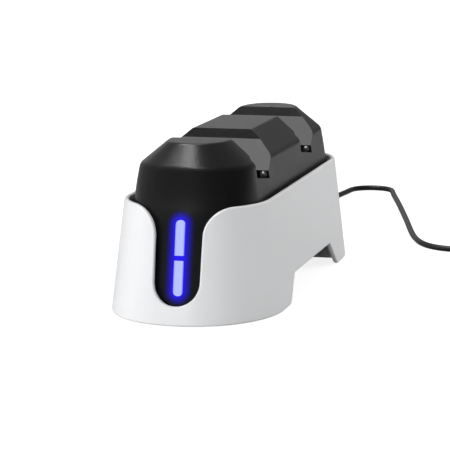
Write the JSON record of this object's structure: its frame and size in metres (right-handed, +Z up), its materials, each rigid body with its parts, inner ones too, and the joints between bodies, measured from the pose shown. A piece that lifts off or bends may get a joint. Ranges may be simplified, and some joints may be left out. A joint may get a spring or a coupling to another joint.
{
  "type": "game controller charging dock",
  "caption": "In-line charging dock: black ridge with cross bays and sprung contacts, white shell raised on end feet, lit bar in a front notch, captive cord",
  "frame": {"origin": "centre of the footprint, on the surface the dock stands on", "axes": "+Z up, +Y from the notched front to the rear where the cord leaves, +X to the right"},
  "size_m": [0.176, 0.4164, 0.075],
  "materials": {
    "white_shell": "white ABS, satin with a soft sheen",
    "white_base": "white ABS as moulded, matt",
    "black_body": "black ABS, fine-grained satin",
    "black_moulding": "black ABS as moulded",
    "foot_rubber": "black rubber",
    "screw_steel": "plated steel",
    "contact_gold": "gold-plated brass",
    "spring_steel": "spring wire",
    "catch_steel": "polished steel",
    "light_lens": "clear-blue diffuser, lit from behind",
    "board": "green solder mask",
    "led_body": "moulded LED package",
    "chip_black": "black epoxy",
    "cord_jacket": "black PVC, slight sheen",
    "cord_moulding": "black soft PVC",
    "plug_steel": "nickel-plated steel",
    "plug_insert": "white moulding"
  },
  "bodies": {
    "dock": {"outer_shell": "white_shell", "upper_body": "black_body", "base_cover": "white_base", "foot_pads": "foot_rubber", "cover_screws": "screw_steel", "front_contact_block": "black_moulding", "rear_contact_block": "black_moulding", "front_contact_board": "board", "rear_contact_board": "board", "front_left_pin_spring": "spring_steel", "front_right_pin_spring": "spring_steel", "rear_left_pin_spring": "spring_steel", "rear_right_pin_spring": "spring_steel", "catch_sleeves": "catch_steel", "front_left_catch_spring": "spring_steel", "front_right_catch_spring": "spring_steel", "rear_left_catch_spring": "spring_steel", "rear_right_catch_spring": "spring_steel", "upper_light_lens": "light_lens", "lower_light_lens": "light_lens", "light_shield": "black_moulding", "led_board": "board", "leds": "led_body", "main_board": "board", "board_screws": "screw_steel", "board_parts": "chip_black", "supply_lead": "cord_jacket", "strain_relief": "cord_moulding", "cord": "cord_jacket", "cord_coil": "cord_jacket", "cord_tie": "cord_moulding", "plug_body": "cord_moulding", "plug_shell": "plug_steel", "plug_tongue": "plug_insert"},
    "front_left_pin_body": {"front_left_pin": "contact_gold"},
    "front_right_pin_body": {"front_right_pin": "contact_gold"},
    "rear_left_pin_body": {"rear_left_pin": "contact_gold"},
    "rear_right_pin_body": {"rear_right_pin": "contact_gold"},
    "front_left_catch_ball_body": {"front_left_catch_ball": "catch_steel"},
    "front_right_catch_ball_body": {"front_right_catch_ball": "catch_steel"},
    "rear_left_catch_ball_body": {"rear_left_catch_ball": "catch_steel"},
    "rear_right_catch_ball_body": {"rear_right_catch_ball": "catch_steel"}
  },
  "joints": [
    {"name": "front_left_pin_slide", "type": "slide", "parent": "dock", "child": "front_left_pin_body", "axis": [0, 0, -1], "range_m": [0, 0.0012], "stiffness_N_per_m": 300, "deforming": ["front_left_pin_spring"]},
    {"name": "front_right_pin_slide", "type": "slide", "parent": "dock", "child": "front_right_pin_body", "axis": [0, 0, -1], "range_m": [0, 0.0012], "stiffness_N_per_m": 300, "deforming": ["front_right_pin_spring"]},
    {"name": "rear_left_pin_slide", "type": "slide", "parent": "dock", "child": "rear_left_pin_body", "axis": [0, 0, -1], "range_m": [0, 0.0012], "stiffness_N_per_m": 300, "deforming": ["rear_left_pin_spring"]},
    {"name": "rear_right_pin_slide", "type": "slide", "parent": "dock", "child": "rear_right_pin_body", "axis": [0, 0, -1], "range_m": [0, 0.0012], "stiffness_N_per_m": 300, "deforming": ["rear_right_pin_spring"]},
    {"name": "front_left_catch_ball_slide", "type": "slide", "parent": "dock", "child": "front_left_catch_ball_body", "axis": [0, 1, 0], "range_m": [0, 0.0007], "stiffness_N_per_m": 600, "deforming": ["front_left_catch_spring"]},
    {"name": "front_right_catch_ball_slide", "type": "slide", "parent": "dock", "child": "front_right_catch_ball_body", "axis": [0, 1, 0], "range_m": [0, 0.0007], "stiffness_N_per_m": 600, "deforming": ["front_right_catch_spring"]},
    {"name": "rear_left_catch_ball_slide", "type": "slide", "parent": "dock", "child": "rear_left_catch_ball_body", "axis": [0, 1, 0], "range_m": [0, 0.0007], "stiffness_N_per_m": 600, "deforming": ["rear_left_catch_spring"]},
    {"name": "rear_right_catch_ball_slide", "type": "slide", "parent": "dock", "child": "rear_right_catch_ball_body", "axis": [0, 1, 0], "range_m": [0, 0.0007], "stiffness_N_per_m": 600, "deforming": ["rear_right_catch_spring"]}
  ]
}
